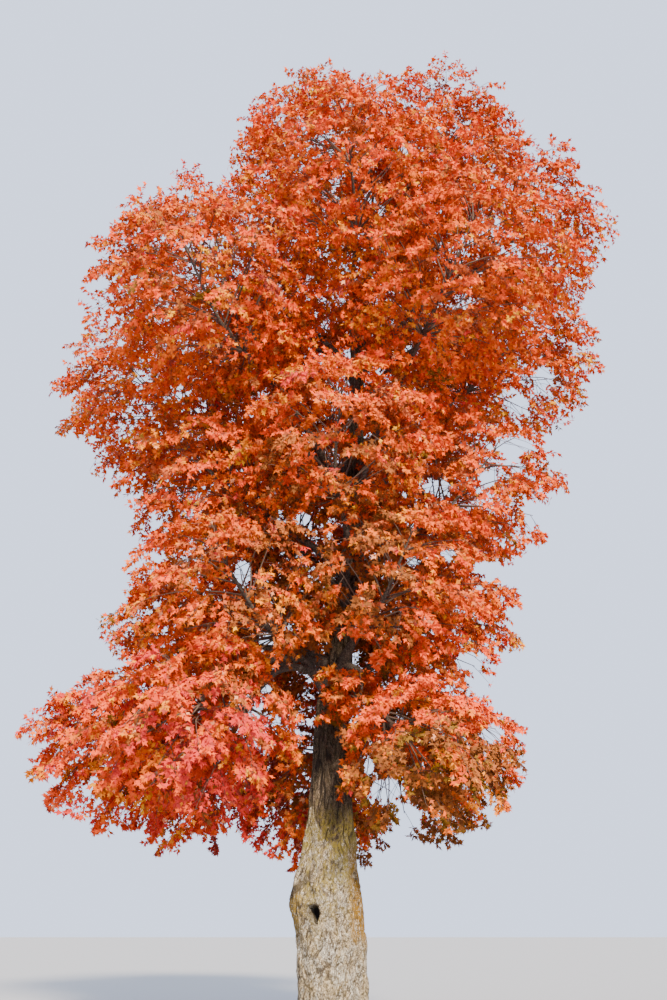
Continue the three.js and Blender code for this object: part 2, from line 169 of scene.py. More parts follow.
SPRAY_UNEVEN = 0.25
SPRAY_SAG = 0.16
AXIS_SHARE = 0.72  # how much of a spray's length its axis takes
AXIS_RADII = (0.007, 0.005, 0.0035)
SHOOTS = ((0, 1.0), (1, 0.28), (-1, 0.28), (1, 0.55), (-1, 0.55), (1, 0.8), (-1, 0.8))  # side, and share
SHOOT_TURN = 52
SHOOT_LENGTH = 0.5  # of the spray's
SHOOT_FIRST, SHOOT_SHORTER = 1.05, 0.35  # a shoot's size at the axis's foot, and how much less at its tip
SHOOT_UNEVEN = 0.25
SHOOT_RISE = (0.1, 0.4)  # how much it turns to the spray's top, and at random
SHOOT_TILT = (-0.18, 0.2)  # how much it turns up, and at random
SHOOT_SAG = 0.12
SHOOT_RADIUS = 0.004
PAIRS = 8
# A shoot's leaves: side, and share of its length.
LEAVES = [(side, 0.14 + 0.84 * (pair / (PAIRS - 1)) ** 0.9) for pair in range(PAIRS) for side in (1, -1)]
LEAVES += [(0, 1.0)]
LEAF_LENGTH = 0.084
LEAF_UNEVEN = 0.22
LEAF_STALK = 0.55  # how far, at most, a leaf's blade starts from its twig, of its length
LEAF_SPIN = 0.5  # radians
LEAF_DROP = (0.55, 0.45)  # how much a leaf hangs, and at random
LEAF_OUT, LEAF_AHEAD, LEAF_SCATTER = 0.9, 0.55, 0.6
TOP_UP, TOP_OUT, TOP_SCATTER = 0.6, 0.75, 0.8  # which way its face looks
LAST_LEAF = 1.1  # the size of the leaf at a shoot's tip, of the others'
LEAF_CURL = (0.4, 1.2)
LEAF_MIDDLE = 0.6  # where a leaf's middle is, of its length
# Leaves turned over take a pale tint that stands partly for their paler underside and partly for painted
# glints and sheen.
UNDERSIDES_AND_GLINTS = 0.02  # the share of leaves that show their pale underside
# Where short side branches leave a tier's boughs.
SIDE_SHARES = dict(skirt=(), waist=(), middle=(0.62, 0.8, 0.95), tuft=(), top=(0.8,),
                   broad=(0.44, 0.52, 0.6, 0.68, 0.76, 0.84, 0.92, 1.0),
                   shoulder=(0.5, 0.62, 0.74, 0.86, 0.98))
SIDE_LENGTH = 1.05
SIDE_UNEVEN = 0.3
SIDE_AHEAD = 0.5
SIDE_ARCH = 0.08
SIDE_THICK = 0.5

# What keeps the leaves in their places.
ASTRAY = 0.9  # how far outside the masses' balls the leaves of side branches may hang
MINGLE = 0.2  # how far a mass's leaves may stray among its neighbour's,
REACH_SPARE = 1.03  # and how far out, of its reach
LIMIT = 0.02  # how far past the solids' box a leaf's middle may hang, as a share of the box
DEEP = 1.0  # of the sprays deeper in the crown than this
DEEP_SHARE = 0.22  # this share grows,
LOW_CROWN = 7.0  # or below this height
LOW_DEEP_SHARE = 0.8  # this share

# The camera, placed as the photo was taken, and the photo's size in pixels.
CAMERA_PLACE = np.array([0, -18.5, 1.6])
CAMERA_TILT = 24.1
CAMERA_LENS = 35  # millimetres, as is the sensor
SENSOR = 36
CAMERA_END = 1000
PHOTO_WIDE, PHOTO_TALL = 667, 1000

# Where the photo shows sky through the crown and, in the last five, beside it: column, row, half width
# and half height in its pixels.
GAPS = np.array([
    [386, 788, 25, 15], [369, 766, 9, 12], [408, 812, 15, 13], [468, 661, 20, 12],
    [478, 684, 12, 16], [492, 733, 17, 10], [541, 378, 11, 18], [513, 446, 24, 14],
    [531, 513, 11, 20], [448, 553, 13, 8], [413, 561, 11, 8], [488, 567, 22, 9],
    [440, 487, 15, 13], [486, 477, 12, 10], [520, 405, 12, 12], [410, 350, 9, 8],
    [303, 518, 9, 10], [243, 572, 13, 18], [268, 640, 9, 10], [266, 688, 10, 7],
    [277, 720, 6, 9], [112, 188, 27, 28], [76, 456, 28, 24], [608, 170, 32, 26],
    [502, 62, 34, 26], [88, 520, 30, 30],
])

# Where it shows the trunk and its boughs, with no leaves before them: the same.
WINDOWS = np.array([
    [346, 528, 17, 15], [346, 579, 10, 10], [343, 643, 14, 20], [320, 704, 12, 16],
    [331, 752, 21, 22], [288, 672, 28, 17], [300, 655, 14, 10], [314, 545, 9, 42],
    [262, 392, 16, 7], [352, 470, 9, 14],
])
WINDOW_BACK = 0.2  # leaves further back than this stay
GAP_EDGE = 0.35  # how unevenly a gap's edge runs

# A leaf's outline: across, along and out of its plane, of its length.
LEAF = np.array([
    [0, 0, 0], [0.52, 0.42, -0.08], [-0.52, 0.42, -0.08],
    [0.21, 0.38, -0.06], [0, 1.0, -0.24], [-0.21, 0.38, -0.06],
])
LEAF_FACES = np.array([[0, 1, 2], [3, 4, 5]])

# Leaf tints. The last isn't dealt out with the others, but to the leaves that are turned over: a pale
# underside tint that is partly painted glint and sheen.
TINTS = dict(
    vermilion=(0.62, 0.078, 0.013), scarlet=(0.60, 0.056, 0.016),
    coral=(0.80, 0.102, 0.024), orange_red=(0.66, 0.102, 0.012),
    orange=(0.72, 0.142, 0.012), amber=(0.70, 0.215, 0.014),
    gold=(0.70, 0.32, 0.015), crimson=(0.60, 0.044, 0.036),
    deep_red=(0.29, 0.040, 0.028), brick=(0.50, 0.108, 0.036),
    rust=(0.33, 0.096, 0.024), russet=(0.20, 0.064, 0.017),
    olive=(0.20, 0.095, 0.014), underside=(0.72, 0.28, 0.14),
)
TINT_NAMES = list(TINTS)
BY_LEAF = 0.22  # the share of leaves with a tint of their own,
BY_SHOOT = 0.45  # and, of the others, the share with their shoot's and not their spray's

TWIG_COLOUR = (0.115, 0.075, 0.055)
BARK = Row(
    light=(0.8, 0.635, 0.4), lightest=(1.0, 0.92, 0.76),
    between_flakes=(0.17, 0.12, 0.07), old_gap=(0.06, 0.043, 0.026),
    # The young bark's colours are darkened partly as painted shade of the crown.
    young_dark=(0.06, 0.043, 0.03), young_light=(0.29, 0.215, 0.15),
    young_gap=(0.018, 0.013, 0.01), olive=(0.37, 0.28, 0.045),
    orange=(0.29, 0.145, 0.007), ochre=(0.36, 0.215, 0.02),
    # A painted shadow lies over the burl.
    fold=(0.085, 0.065, 0.04), hollow=(0.012, 0.009, 0.008),
    limb_dark=(0.06, 0.045, 0.036), limb_light=(0.165, 0.13, 0.1),
    limb_patch=(0.36, 0.33, 0.27), limb_crack=(0.028, 0.02, 0.016),
)

# The studio.
FLOOR_SIZE = 1600
FLOOR_DROP = 0.002  # how far it lies under the flat cut
FLOOR_COLOUR = (0.42, 0.415, 0.405)
SOFT_COLOUR = (0.70, 0.80, 1.04)
SOFT_STRENGTH = 1.9
SUN_COLOUR = (1.0, 0.86, 0.68)
SUN_STRENGTH = 10.5
SUN_WIDTH = 9
SUN_TILT, SUN_TURN = 58, 16


def chance(a, b, c):
    """A repeatable number from 0 to 1 for whatever the three keys name."""
    wave = np.sin(a * 12.9898 + b * 78.233 + c * 37.719) * 43758.5453
    return wave - np.floor(wave)


def swing(a, b, c):
    """The same, from -1 to 1."""
    return 2 * chance(a, b, c) - 1


def swings(a, b):
    """Three of them, as a vector."""
    return np.stack([swing(a, b, c) for c in (1, 2, 3)], -1)


def unit(v):
    return v / np.maximum(np.linalg.norm(v, axis=-1, keepdims=True), 1e-12)


def direction(degrees):
    angle = math.radians(degrees)
    return np.array([math.cos(angle), math.sin(angle), 0.0])


def smooth(value, low, high):
    share = np.clip((value - low) / (high - low), 0, 1)
    return share * share * (3 - 2 * share)


def curve_through(points, fine=64):
    """Points close together on a smooth curve through a few, evenly spaced."""
    points = [np.asarray(p, float) for p in points]
    line = [2 * points[0] - points[1], *points, 2 * points[-1] - points[-2]]
    share = np.linspace(0, 1, fine, endpoint=False)[:, None]
    runs = []
    for p0, p1, p2, p3 in zip(line, line[1:], line[2:], line[3:]):
        d0, d1, d2 = (max(np.linalg.norm(b - a), 1e-6) ** 0.5
                      for a, b in ((p0, p1), (p1, p2), (p2, p3)))
        t1 = ((p1 - p0) / d0 - (p2 - p0) / (d0 + d1) + (p2 - p1) / d1) * d1
        t2 = ((p2 - p1) / d1 - (p3 - p1) / (d1 + d2) + (p3 - p2) / d2) * d1
        runs.append(p1 + t1 * share + (3 * (p2 - p1) - 2 * t1 - t2) * share ** 2
                    + (2 * (p1 - p2) + t1 + t2) * share ** 3)
    runs.append(points[-1][None])
    return np.concatenate(runs)


def along_curve(line, share):
    """Points at shares of a curve's length."""
    steps = np.linalg.norm(np.diff(line, axis=0), axis=1)
    length = np.concatenate([[0], np.cumsum(steps)])
    at = np.clip(np.asarray(share, float), 0, 1) * length[-1]
    return np.stack([np.interp(at, length, line[:, i]) for i in range(3)], axis=-1)


# The limbs and the masses, by the rules of the part's source.

def trunk_at(height):
    """The trunk's middle and girth at heights."""
    rows = [np.interp(height, TRUNK[:, 0], TRUNK[:, i]) for i in (1, 2, 3)]
    return np.stack([rows[0], rows[1], np.asarray(height, float)], axis=-1), rows[2]


def trunk_radius(height, angle):
    girth = trunk_at(height)[1]
    root = ROOT_SWELL * np.exp(-height / ROOT_HEIGHT) * np.cos(ROOTS * angle + ROOT_TURN)
    flute = FLUTE_SWELL * np.cos(FLUTES * angle + height / FLUTE_WIND)
    radius = (girth / 2) * (1 + root + flute)
    for burl in BURLS:
        away = angle - math.radians(burl.turn)
        across = np.arctan2(np.sin(away), np.cos(away)) / math.radians(burl.wide)
        along = (height - burl.height) / burl.tall
        radius = radius + burl.swell * np.exp(-across * across - along * along)
    return radius


def make_masses():
    """The crown's masses, tier by tier: which way each lies, its middle and its reach."""
    masses = []
    for level, tier in enumerate(TIERS):
        step = tier.arc / (tier.count - 1 if tier.arc < 360 else tier.count)
        for i in range(tier.count):
            out = direction(tier.turn + step * i)
            height = tier.height + tier.slope * out[0] - tier.sag * max(0, out[1])
            centre = np.array([tier.middle[0] + tier.out * out[0],
                               tier.middle[1] + tier.out * DEPTH * out[1],
                               height + UNEVEN_HEIGHT * swing(level, i, 1)])
            reach = tier.reach * (1 + UNEVEN_REACH * swing(level, i, 2))
            masses.append(Row(name=f"{tier.name}_{i + 1}", tier=tier, level=level, number=i,
                               index=len(masses), out=out, centre=centre, reach=reach))
    return masses


MASSES = make_masses()
CENTRES = np.array([m.centre for m in MASSES])
REACHES = np.array([m.reach for m in MASSES])


def spreads(points):
    """The squares of the distances from every mass's middle, in the masses' flattened measure."""
    away = np.atleast_2d(points)[:, None, :] - CENTRES[None]
    away[..., 2] /= FLAT
    return (away ** 2).sum(-1)


def room(index, points):
    """How far points lie inside the space of their own mass."""
    index = np.broadcast_to(index, len(np.atleast_2d(points)))
    claim = spreads(points) - REACHES ** 2
    apart = np.sqrt(spreads(CENTRES))
    np.fill_diagonal(apart, np.inf)
    own = claim[np.arange(len(claim)), index][:, None]
    gaps = (claim - own) / (2 * apart[index])
    gaps[np.arange(len(claim)), index] = np.inf
    return gaps.min(1)


def depth(points):
    """How far points lie inside the crown: inside the mass's ball that holds them deepest."""
    return (REACHES - np.sqrt(spreads(points))).max(1)


def entry(mass, start):
    """Where a bough from a start ends inside its mass, with some room around."""
    way = unit(start - mass.centre)
    share = ENTRY
    end = mass.centre + way * share * mass.reach
    while share > ENTRY_STEP and room(mass.index, end) < ENTRY_ROOM:
        share -= ENTRY_STEP
        end = mass.centre + way * share * mass.reach
    return end


def grow_bough(mass, boughs):
    """The curve, girth and tip of a mass's bough."""
    tier, level, number = mass.tier, mass.level, mass.number
    if hasattr(tier, "source"):
        parents = [b for b in boughs if b.mass.tier.name == tier.source]
        parent = max(parents, key=lambda b: b.mass.out @ mass.out)
        at = (tier.share + tier.stagger * (number % 2)) * BOUGH_STEPS
        step = math.floor(at)
        ends = along_curve(parent.line, [step / BOUGH_STEPS, (step + 1) / BOUGH_STEPS])
        start = ends[0] + (ends[1] - ends[0]) * (at - step)
    else:
        start = trunk_at(tier.leaves + tier.stagger * ((2 * number) % tier.count))[0]
    end = entry(mass, start)
    way = end - start
    length = np.linalg.norm(way)
    side = unit(np.cross(way, UP))
    bends = [start + way * at + UP * lift * length + side * CROOKED * swing(level, number, key) * length
             for at, lift, key in ((BENDS[0], tier.arch * FIRST_LIFT, 3), (BENDS[1], tier.arch, 4))]
    line = curve_through([start, *bends, end])
    tip = max(tier.girth * BOUGH_TAPER, STEM_TIP)
    return Row(mass=mass, line=line, girth=tier.girth, tip=tip)


def grow_boughs():
    """All boughs: first those that leave the trunk, then those that leave another bough."""
    boughs = []
    for late in (False, True):
        for mass in MASSES[:-1]:
            if hasattr(mass.tier, "source") == late:
                boughs.append(grow_bough(mass, boughs))
    return boughs


def grow_stem(mass, bough):
    """The curve of a mass's stem, from its limb's tip, and its thickness there."""
    if bough:
        start = bough.line[-1]
        heading = unit(bough.line[-1] - bough.line[-4])
        thick = bough.tip
    else:
        start = trunk_at(TRUNK[-1, 0])[0]
        heading = UP
        thick = LEADER_SHARE * TRUNK[-1, 3]
    end = mass.centre + mass.out * STEM_OUT * mass.reach + UP * STEM_UP * mass.reach
    bend = start + heading * np.linalg.norm(end - start) / 3
    return Row(line=curve_through([start, bend, end]), start=start, end=end, thick=thick)


def branch_ray(mass, k, count):
    """The ray from a mass's middle that a branch makes for. The level one points out of the crown."""
    high = 1 - (2 * k + 1) / count
    turn = math.atan2(mass.out[1], mass.out[0]) + (k - (count - 1) / 2) * GOLDEN_ANGLE
    flat = math.sqrt(1 - high * high)
    return np.array([flat * math.cos(turn), flat * math.sin(turn), high * FLAT])


def grow_branches(mass, stem):
    """Branches from a mass's stem towards directions that the golden angle spreads evenly."""
    index, reach = mass.index, mass.reach
    aim = stem.end - stem.start
    length = np.linalg.norm(aim)
    branches = []
    count = round(reach * reach / BRANCH_SPACE[mass.tier.name])
    for k in range(count):
        ray = branch_ray(mass, k, count)
        for end in BRANCH_ENDS:
            tip = mass.centre + ray * end * reach * (1 + TWIG_UNEVEN * swing(index, k, 2))
            if room(index, tip) > BRANCH_ROOM:
                break
        else:
            continue
        ahead = (tip - stem.start) @ aim / length
        aside = np.linalg.norm(tip - stem.start - aim * ahead / length)
        share = np.clip((ahead - TWIG_LEAN * aside) / length, TWIG_FIRST, TWIG_LAST)
        base = along_curve(stem.line, share)
        way = tip - base
        size = np.linalg.norm(way)
        stray = unit(np.cross(way, UP)) * size * BRANCH_STRAY
        bends = [base + way * at + UP * size * BRANCH_ARCH + stray * swing(index, k, key)
                 for at, key in zip(BRANCH_BENDS, (7, 8))]
        line = curve_through([base, *bends, tip], BRANCH_FINE)
        thick = BRANCH_THIN + (1 - BRANCH_THIN) * (1 - share)
        branches.append(Row(k=k, ray=ray, line=line, thick=thick))
    return branches


def side_branches(mass, bough):
    """Short branches along the outer part of a bough, which fill the crown's inside."""
    branches = []
    way = unit(bough.line[-1] - bough.line[0])
    side = unit(np.cross(way, UP))
    over = np.cross(side, way)
    for n, share in enumerate(SIDE_SHARES[mass.tier.name]):
        k = SIDE_KEY + n
        turn = k * GOLDEN_ANGLE + TAU * chance(mass.index, n, 9)
        ray = unit(side * math.cos(turn) + over * math.sin(turn) + SIDE_AHEAD * way)
        base = along_curve(bough.line, share)
        tip = base + ray * SIDE_LENGTH * (1 + SIDE_UNEVEN * swing(mass.index, k, 10))
        bend = (base + tip) / 2 + SIDE_ARCH * UP
        line = curve_through([base, bend, tip], BRANCH_FINE)
        branches.append(Row(k=k, ray=ray, line=line, thick=SIDE_THICK))
    return branches


def grow_sprays(mass, branches):
    """The key, mass, start, direction, way its top faces and length of each spray."""
    rows = []
    for branch in branches:
        k, ray, line = branch.k, branch.ray, branch.line
        heading = unit(line[-1] - line[0])
        for place, (turn, at) in enumerate(PLACES):
            key = (mass.index * KEYS + k) * len(PLACES) + place
            stray = np.array([swing(key, 1, 1), swing(key, 1, 2), 0])
            facing = unit(FACE_UP * UP + FACE_OUT * ray + FACE_STRAY * stray)
            ahead = unit(heading - facing * (heading @ facing))
            side = np.cross(facing, ahead)
            angle = math.radians(PLACE_TURN) * turn
            along = unit(ahead * math.cos(angle) + side * math.sin(angle) + SPRAY_AHEAD * heading
                         - SPRAY_DROOP * UP + SPRAY_DRIFT * swings(key, 2))
            facing = unit(facing - along * (facing @ along))
            length = SPRAY_LENGTH * mass.reach * (1 + SPRAY_UNEVEN * swing(key, 3, 1))
            rows.append((key, mass.index, along_curve(line, at), along, facing, length))
    return rows


def wall_faces(rows, sides):
    """Faces between rows of points that each go once round."""
    row = np.arange(rows - 1)[:, None] * sides
    low = row + np.arange(sides)
    after = row + (np.arange(sides) + 1) % sides
    return np.stack([low, after, after + sides, low + sides], -1).reshape(-1, 4)


def rings(heading, first, sides):
    """Directions spread round each heading, counted from a side that the line's first heading sets."""
    aside = np.where(np.abs(first[..., 2:]) > 0.9, np.array([1.0, 0, 0]), UP)
    normal = unit(np.cross(heading, aside))[..., None, :]
    binormal = np.cross(heading, normal[..., 0, :])[..., None, :]
    angles = (np.arange(sides) * TAU / sides)[:, None]
    return normal * np.cos(angles) + binormal * np.sin(angles)


def tubes(lines, radii, sides):
    """Round twigs along many lines of the same number of points, as arrays of points and faces."""
    count, points = lines.shape[:2]
    heading = unit(np.gradient(lines, axis=1))
    verts = lines[:, :, None] + rings(heading, heading[:, :1], sides) * radii[:, :, None, None]
    faces = wall_faces(points, sides) + (np.arange(count) * points * sides)[:, None, None]
    return verts.reshape(-1, 3), faces.reshape(-1, 4)


def spikes(lines, radius):
    """Twigs of one stretch each, three-sided at the foot and pointed at the tip."""
    foot, tip = lines[:, 0], lines[:, 1]
    heading = unit(tip - foot)
    ring = foot[:, None] + radius * rings(heading, heading, 3)
    verts = np.concatenate([ring, tip[:, None]], axis=1)
    faces = np.array([[0, 1, 3], [1, 2, 3], [2, 0, 3]]) + (4 * np.arange(len(lines)))[:, None, None]
    return verts.reshape(-1, 3), faces.reshape(-1, 3)


def mesh_from(name, verts, faces, materials, indices=None, smooth_faces=True):
    """A mesh object from arrays of points and faces that all have as many corners."""
    mesh = bpy.data.meshes.new(name)
    corners = faces.shape[1]
    mesh.vertices.add(len(verts))
    mesh.vertices.foreach_set("co", np.asarray(verts, np.float32).ravel())
    mesh.loops.add(faces.size)
    mesh.loops.foreach_set("vertex_index", faces.astype(np.int32).ravel())
    mesh.polygons.add(len(faces))
    mesh.polygons.foreach_set("loop_start", np.arange(len(faces), dtype=np.int32) * corners)
    mesh.polygons.foreach_set("use_smooth", np.full(len(faces), smooth_faces))
    for material in materials:
        mesh.materials.append(material)
    if indices is not None:
        mesh.polygons.foreach_set("material_index", indices.astype(np.int32))
    mesh.update(calc_edges=True)
    mesh.validate()
    piece = bpy.data.objects.new(name, mesh)
    bpy.context.scene.collection.objects.link(piece)
    return piece


def join_arrays(parts):
    """Several arrays of points and faces as one."""
    verts, faces, start = [], [], 0
    for v, f in parts:
        verts.append(v)
        faces.append(f + start)
        start += len(v)
    return np.concatenate(verts), np.concatenate(faces)


def plain(name, colour, roughness, specular):
    """A material of one colour."""
    material = bpy.data.materials.new(name)
    material.use_nodes = True
    shader = material.node_tree.nodes["Principled BSDF"]
    shader.inputs["Base Color"].default_value = (*colour, 1)
    shader.inputs["Roughness"].default_value = roughness
    shader.inputs["Specular IOR Level"].default_value = specular
    return material


class Nodes:
    """Short ways to add nodes to a bark material. A source is a constant or another node's output."""

    wave_scale, wave_detail = 6, 3
    specular = 0.25

    def __init__(self, name):
        self.material = bpy.data.materials.new(name)
        self.material.use_nodes = True
        self.tree = self.material.node_tree
        self.shader = self.tree.nodes["Principled BSDF"]
        self.place = self.add("TexCoord", {}).outputs["Object"]

    def link(self, source, target):
        if hasattr(source, "links"):
            self.tree.links.new(source, target)
        elif target.type == "RGBA":
            target.default_value = (*source, 1)
        else:
            target.default_value = source

    def add(self, kind, sources, **settings):
        node = self.tree.nodes.new("ShaderNode" + kind)
        for name, setting in settings.items():
            setattr(node, name, setting)
        for socket, source in sources.items():
            self.link(source, node.inputs[socket])
        return node

    def scaled(self, scale):
        return self.add("Mapping", {"Vector": self.place, "Scale": scale}).outputs["Vector"]

    def noise(self, scale, stretch=(1, 1, 1), detail=4, rough=0.6, twist=0):
        sources = {"Vector": self.scaled(stretch), "Scale": scale, "Detail": detail, "Roughness": rough,
                   "Distortion": twist}
        return self.add("TexNoise", sources).outputs["Fac"]

    def cracks(self, scale, stretch=(1, 1, 1), stray=0.0):
        waves = self.add("TexNoise", {"Vector": self.place, "Scale": self.wave_scale,
                                      "Detail": self.wave_detail})
        sources = {0: waves.outputs["Color"], 1: (stray, stray, stray), 2: self.scaled(stretch)}
        moved = self.add("VectorMath", sources, operation="MULTIPLY_ADD")
        sources = {"Vector": moved.outputs["Vector"], "Scale": scale}
        return self.add("TexVoronoi", sources, feature="DISTANCE_TO_EDGE").outputs["Distance"]

    def value(self, name):
        return self.add("Attribute", {}, attribute_name=name).outputs["Fac"]

    def part(self, axis):
        return self.add("SeparateXYZ", {0: self.place}).outputs[axis]

    def math(self, kind, a, b):
        return self.add("Math", {0: a, 1: b}, operation=kind).outputs[0]

    def product(self, *shares):
        result = shares[0]
        for share in shares[1:]:
            result = self.math("MULTIPLY", result, share)
        return result

    def ramp(self, source, low, high, out_low=0.0, out_high=1.0):
        sources = {"Value": source, "From Min": low, "From Max": high, "To Min": out_low,
                   "To Max": out_high}
        return self.add("MapRange", sources, interpolation_type="SMOOTHSTEP").outputs["Result"]

    def mix(self, share, a, b):
        return self.add("Mix", {"Factor": share, 6: a, 7: b}, data_type="RGBA").outputs[2]

    def bump(self, height, strength, distance, under=None):
        sources = {"Height": height, "Strength": strength, "Distance": distance}
        if under is not None:
            sources["Normal"] = under
        return self.add("Bump", sources).outputs["Normal"]

    def finish(self, colour, roughness, normal):
        sources = {"Base Color": colour, "Roughness": roughness, "Normal": normal,
                   "Specular IOR Level": self.specular}
        for socket, source in sources.items():
            self.link(source, self.shader.inputs[socket])
        return self.material


def trunk_bark():
    """Old pale bark with lichen below, and younger dark bark above, whose darkness is partly painted shade
    of the crown.
    """
    n = Nodes("trunk_bark")
    plate = n.value("plate")
    hollow = n.value("hollow")
    height = n.part("Z")
    right = n.part("X")
    tongues = n.noise(2.4, (1, 1, 0.35), 4, 0.6)
    grain = n.noise(60, (1, 1, 0.45), 5, 0.8, 0.8)
    flakes = n.noise(15, (1, 1, 0.55), 9, 0.86, 1.4)
    streaks = n.noise(40, (1, 1, 0.16), 5, 0.7, 0.4)
    broad = n.noise(3.4, (1, 1, 0.5), 8, 0.75, 0.6)
    specks = n.noise(22, (1, 1, 0.6), 7, 0.85, 0.8)
    chips = n.cracks(11, (1, 1, 0.42), 0.35)
    worn = n.noise(5, (1, 1, 0.6), 6, 0.7, 0.8)
    # The old bark ends in uneven tongues, lower on the right. This ragged edge is also a painted shadow
    # edge, and the dark young bark above is partly painted shade of the crown.
    edge = n.math("ADD", height, n.math("MULTIPLY", right, 0.6))
    edge = n.math("ADD", edge, n.math("MULTIPLY", tongues, -2.4))
    old = n.ramp(edge, 1.92, 2.08, 1.0, 0.0)
    light = n.mix(n.ramp(worn, 0.42, 0.58), BARK.light, BARK.lightest)
    pale = n.mix(n.ramp(flakes, 0.45, 0.52), BARK.between_flakes, light)
    young_and_shaded = n.mix(n.ramp(streaks, 0.38, 0.62), BARK.young_dark, BARK.young_light)
    gap = n.mix(old, BARK.young_gap, BARK.old_gap)
    face = n.mix(old, young_and_shaded, pale)
    face = n.mix(n.ramp(grain, 0.40, 0.54, 0.95, 0.0), face, gap)
    face = n.mix(n.ramp(chips, 0.0, 0.045, 0.95, 0.0), face, gap)
    # Lichen: olive towards the old bark's top, orange on the right, ochre on the burl at the left.
    olive = n.product(n.ramp(broad, 0.42, 0.52, 0.0, 0.9), n.ramp(height, 1.2, 2.9, 0.15, 1.0),
                      n.ramp(height, 3.2, 3.9, 1.0, 0.08), n.ramp(specks, 0.43, 0.52))
    face = n.mix(olive, face, BARK.olive)
    orange = n.product(n.ramp(right, 0.20, 0.40), n.ramp(broad, 0.40, 0.46, 0.1, 1.0),
                       n.ramp(height, 1.3, 1.7), n.ramp(height, 2.8, 3.2, 1.0, 0.0),
                       n.ramp(specks, 0.40, 0.48))
    face = n.mix(orange, face, BARK.orange)
    ochre = n.product(n.ramp(right, -0.66, -0.48, 1.0, 0.0), n.ramp(height, 1.5, 1.8),
                      n.ramp(height, 2.2, 2.5, 1.0, 0.0), n.ramp(specks, 0.45, 0.53))
    face = n.mix(ochre, face, BARK.ochre)
    # A painted shadow slants up to the right over the burl.
    line = n.math("ADD", n.math("MULTIPLY", right, -0.85), height)
    off_line = n.math("ABSOLUTE", n.math("ADD", line, -2.88), 0.0)
    fold = n.product(n.ramp(off_line, 0.05, 0.13, 0.85, 0.0), n.ramp(right, -0.42, -0.30, 1.0, 0.0),
                     n.ramp(specks, 0.38, 0.46))
    face = n.mix(fold, face, BARK.fold)
    colour = n.mix(n.ramp(plate, 0.0, 0.32, 0.15, 1.0), gap, face)
    # The knot hole's inside is painted near black, as painted shade in the recess.
    colour = n.mix(hollow, colour, BARK.hollow)
    normal = n.bump(flakes, 1.0, 0.05)
    normal = n.bump(chips, 1.0, 0.05, normal)
    normal = n.bump(grain, 1.0, 0.015, normal)
    return n.finish(colour, n.ramp(grain, 0.2, 0.8, 0.98, 0.80), normal)


def limb_bark():
    """Dark grey-brown bark with a few paler patches."""
    n = Nodes("limb_bark")
    grain = n.noise(34, (1, 1, 1), 5, 0.7)
    patches = n.noise(2.3, (1, 1, 1), 4, 0.6)
    cracks = n.cracks(16)
    face = n.mix(n.ramp(grain, 0.3, 0.7), BARK.limb_dark, BARK.limb_light)
    face = n.mix(n.ramp(patches, 0.58, 0.70, 0.0, 0.7), face, BARK.limb_patch)
    face = n.mix(n.ramp(cracks, 0.0, 0.12, 0.7, 0.0), face, BARK.limb_crack)
    normal = n.bump(cracks, 0.5, 0.02)
    normal = n.bump(grain, 0.5, 0.006, normal)
    return n.finish(face, n.ramp(grain, 0.2, 0.8, 0.95, 0.78), normal)


def cells(u, v, around, seed):
    """Uneven cells on the bark: how far a point is from its cell's edge, and a number for the cell."""
    base_u, base_v = np.floor(u), np.floor(v)
    best = np.full(u.shape, np.inf)
    second = np.full(u.shape, np.inf)
    number = np.zeros(u.shape)
    for du in (-1, 0, 1):
        for dv in (-1, 0, 1):
            cu, cv = base_u + du, base_v + dv
            key = np.mod(cu, around)
            pu = cu + 0.5 + 0.45 * swing(key, cv, seed)
            pv = cv + 0.5 + 0.45 * swing(key, cv, seed + 1)
            away = np.hypot(u - pu, v - pv)
            closer = away < best
            second = np.where(closer, best, np.minimum(second, away))
            number = np.where(closer, chance(key, cv, seed + 2), number)
            best = np.where(closer, away, best)
    return second - best, number


def bark_plates(h, a, girth):
    """How far the bark stands out at heights and angles of the trunk, and how whole its plates are."""
    warp = (0.5 * np.sin(h * 2.1 + np.sin(a * 3) * 1.3) + 0.35 * np.sin(h * 5.3 + a * 2)
            + 0.2 * np.sin(h * 13 - a * 5))
    around = a / TAU
    level = h / STRIPS.tall + 0.8 * np.sin(a * 2 + h)
    edge, flake = cells(around * STRIPS.around + 1.5 * warp, level, STRIPS.around, STRIPS.seed)
    strip = smooth(edge, 0.0, STRIPS.edge)
    tall = FLAKE_TALL[0] + FLAKE_TALL[1] * flake
    sawtooth = np.mod(h / tall + 7 * flake + 0.8 * np.sin(a * 11 + flake * 9), 1)
    shag = (1 - sawtooth) * smooth(sawtooth, 0, 0.12)
    fissure, bar = cells(around * RIDGES.around + warp * 0.7, h / RIDGES.tall,
                         RIDGES.around, RIDGES.seed)
    ridge = smooth(fissure, 0.0, RIDGES.edge)
    old = 1 - smooth(h + 0.4 * np.cos(a) + 0.2 * np.sin(a * 5), *OLD_BARK_END)
    relief = (old * strip * (STRIP_OUT + SHAG_OUT * shag + FLAKE_OUT * flake)
              + (1 - old) * RIDGE_OUT * girth * ridge * (0.7 + 0.3 * bar))
    return relief, old * strip * (0.5 + 0.5 * shag) + (1 - old) * ridge


def knot_ring(h, a, radius):
    """How far points of the trunk lie from the knot hole's middle, where 1 is its rim."""
    away = a - math.radians(KNOT.turn)
    across = np.arctan2(np.sin(away), np.cos(away)) * radius / (KNOT.wide / 2)
    along = (h - KNOT.height) / (KNOT.tall / 2)
    # The hole narrows downwards, to the right.
    wedge = smooth(-along, -0.3, 0.5)
    across = (across - 0.35 * wedge) / (1 - 0.45 * wedge)
    return (np.abs(across) ** 3 + np.abs(along) ** 3) ** (1 / 3)


